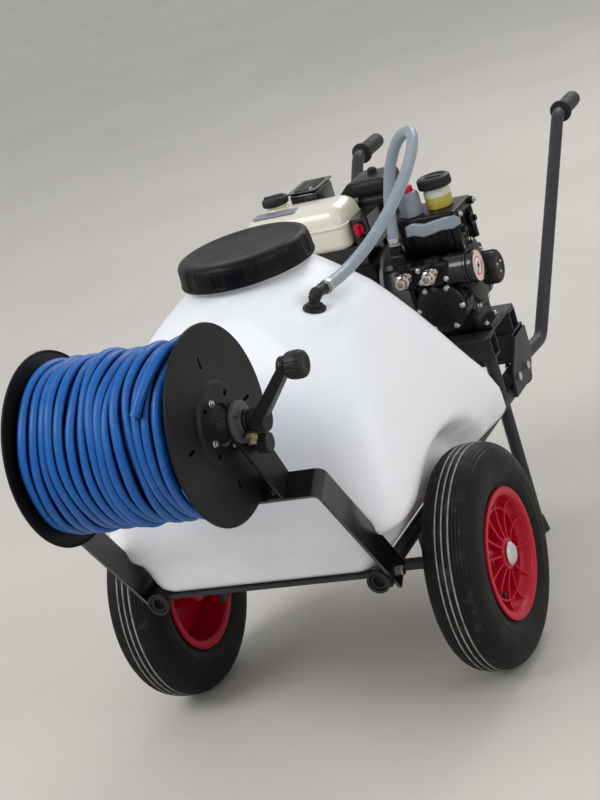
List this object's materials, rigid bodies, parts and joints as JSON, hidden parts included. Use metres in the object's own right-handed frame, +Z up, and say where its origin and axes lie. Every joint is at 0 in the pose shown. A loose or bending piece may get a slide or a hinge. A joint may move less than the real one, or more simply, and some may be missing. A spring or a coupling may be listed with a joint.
{
  "type": "wheeled sprayer cart",
  "caption": "Two-wheeled push cart with a moulded liquid tank, engine-driven diaphragm pump, front hose reel with crank, legs and push handles.",
  "frame": {"origin": "middle of the bounding box's bottom face, on the ground", "axes": "+X to the crank side, +Y to the push handles, +Z up"},
  "size_m": [0.7258, 1.919, 0.8748],
  "materials": {
    "anthracite_paint": "satin powder coat",
    "black_paint": "gloss powder coat",
    "cast_black": "semi-gloss painted casting",
    "cream_paint": "gloss enamel",
    "black_plastic": "moulded",
    "grey_plastic": "moulded",
    "red_plastic": "moulded",
    "nylon": "moulded",
    "white_polyethylene": "rotomoulded, slightly translucent",
    "clear_pvc": "clear with braid",
    "blue_hose": "smooth PVC hose",
    "black_rubber": "moulded",
    "tyre_rubber": "ribbed tread",
    "amber": "clear plastic with oil",
    "steel": "bare",
    "zinc": "zinc plated",
    "chrome": "polished",
    "nickel": "nickel plated brass",
    "cast_alloy": "as cast"
  },
  "bodies": {
    "cart": {"frame": "anthracite_paint", "rail_end_caps": "black_plastic", "leg_feet": "black_rubber", "axle": "anthracite_paint", "axle_washers": "steel", "hub_caps": "chrome", "handle_right": "anthracite_paint", "handle_left": "anthracite_paint", "grip_right": "black_rubber", "grip_left": "black_rubber", "frame_bolts": "zinc", "tank": "white_polyethylene", "strainer_basket": "nylon", "tank_elbow": "black_plastic", "suction_hose": "clear_pvc", "hose_clamps": "zinc", "reel_carrier": "black_paint", "reel_brackets": "black_paint", "reel_bearings": "cast_alloy", "reel_swivel": "cast_black", "engine_block": "cast_black", "cylinder_head": "cast_alloy", "fuel_tank": "cream_paint", "recoil_cover": "black_paint", "air_cleaner": "black_plastic", "muffler": "black_paint", "bell_housing": "cast_alloy", "pump_body": "cast_black", "pump_heads": "cast_black", "pump_manifold": "cast_black", "outlet_taps": "nickel", "pressure_gauge": "chrome", "oil_reservoir": "amber", "air_vessel": "grey_plastic"},
    "wheel_right": {"tyre_right": "tyre_rubber", "inner_tube_right": "black_rubber", "rim_right": "red_plastic", "hub_bush_right": "nylon"},
    "wheel_left": {"tyre_left": "tyre_rubber", "inner_tube_left": "black_rubber", "rim_left": "red_plastic", "hub_bush_left": "nylon"},
    "reel": {"reel_flanges": "black_paint", "reel_drum": "black_paint", "reel_shaft": "zinc", "reel_hose": "blue_hose", "crank_arm": "black_paint"},
    "crank_grip": {"crank_knob": "black_plastic"},
    "reel_brake": {"brake_knob": "black_plastic"},
    "lid": {"tank_lid": "black_plastic", "lid_gasket": "black_rubber"},
    "fuel_filler_cap": {"fuel_cap": "black_plastic"},
    "starter_grip": {"recoil_handle": "black_plastic"},
    "ignition_switch": {"engine_switch": "red_plastic"},
    "throttle": {"throttle_lever": "black_plastic"},
    "shaft": {"drive_shaft": "steel"},
    "tap_inner": {"tap_lever_inner": "black_plastic"},
    "tap_outer": {"tap_lever_outer": "black_plastic"},
    "regulator": {"regulator_knob": "black_plastic"},
    "oil_filler_cap": {"oil_cap": "black_plastic"}
  },
  "joints": [
    {"name": "wheel_right_spin", "type": "hinge", "parent": "cart", "child": "wheel_right", "pos_m": [0.313, -0.3635, 0.2], "axis": [1, 0, 0], "continuous": true},
    {"name": "wheel_left_spin", "type": "hinge", "parent": "cart", "child": "wheel_left", "pos_m": [-0.313, -0.3635, 0.2], "axis": [1, 0, 0], "continuous": true},
    {"name": "reel_spin", "type": "hinge", "parent": "cart", "child": "reel", "pos_m": [0, -0.8015, 0.677], "axis": [1, 0, 0], "continuous": true},
    {"name": "crank_knob_spin", "type": "hinge", "parent": "reel", "child": "crank_grip", "pos_m": [0.304, -0.8015, 0.753], "axis": [1, 0, 0], "continuous": true},
    {"name": "brake_knob_turn", "type": "hinge", "parent": "cart", "child": "reel_brake", "pos_m": [0.197, -0.7755, 0.628], "axis": [1, 0, 0], "range_deg": [0, 360]},
    {"name": "lid_lift", "type": "slide", "parent": "cart", "child": "lid", "axis": [0, 0, 1], "range_m": [0, 0.12]},
    {"name": "fuel_cap_turn", "type": "hinge", "parent": "cart", "child": "fuel_filler_cap", "pos_m": [-0.16, 0.1985, 0.758], "axis": [0, 0, 1], "range_deg": [0, 90]},
    {"name": "starter_pull", "type": "slide", "parent": "cart", "child": "starter_grip", "axis": [-1, 0, 0], "range_m": [0, 0.3]},
    {"name": "switch_turn", "type": "hinge", "parent": "cart", "child": "ignition_switch", "pos_m": [0.027, 0.1365, 0.684], "axis": [0, -1, 0], "range_deg": [0, 60]},
    {"name": "throttle_turn", "type": "hinge", "parent": "cart", "child": "throttle", "pos_m": [0.027, 0.1365, 0.662], "axis": [0, 1, 0], "range_deg": [0, 60]},
    {"name": "drive_shaft_spin", "type": "hinge", "parent": "cart", "child": "shaft", "pos_m": [0, 0.1965, 0.54], "axis": [1, 0, 0], "continuous": true},
    {"name": "tap_inner_turn", "type": "hinge", "parent": "cart", "child": "tap_inner", "pos_m": [0.118, 0.0725, 0.6], "axis": [0, 0, 1], "range_deg": [0, 90]},
    {"name": "tap_outer_turn", "type": "hinge", "parent": "cart", "child": "tap_outer", "pos_m": [0.172, 0.0725, 0.6], "axis": [0, 0, 1], "range_deg": [0, 90]},
    {"name": "regulator_turn", "type": "hinge", "parent": "cart", "child": "regulator", "pos_m": [0.25, 0.1845, 0.548], "axis": [1, 0, 0], "range_deg": [0, 270]},
    {"name": "oil_cap_turn", "type": "hinge", "parent": "cart", "child": "oil_filler_cap", "pos_m": [0.182, 0.1925, 0.735], "axis": [0, 0, 1], "range_deg": [0, 90]}
  ]
}
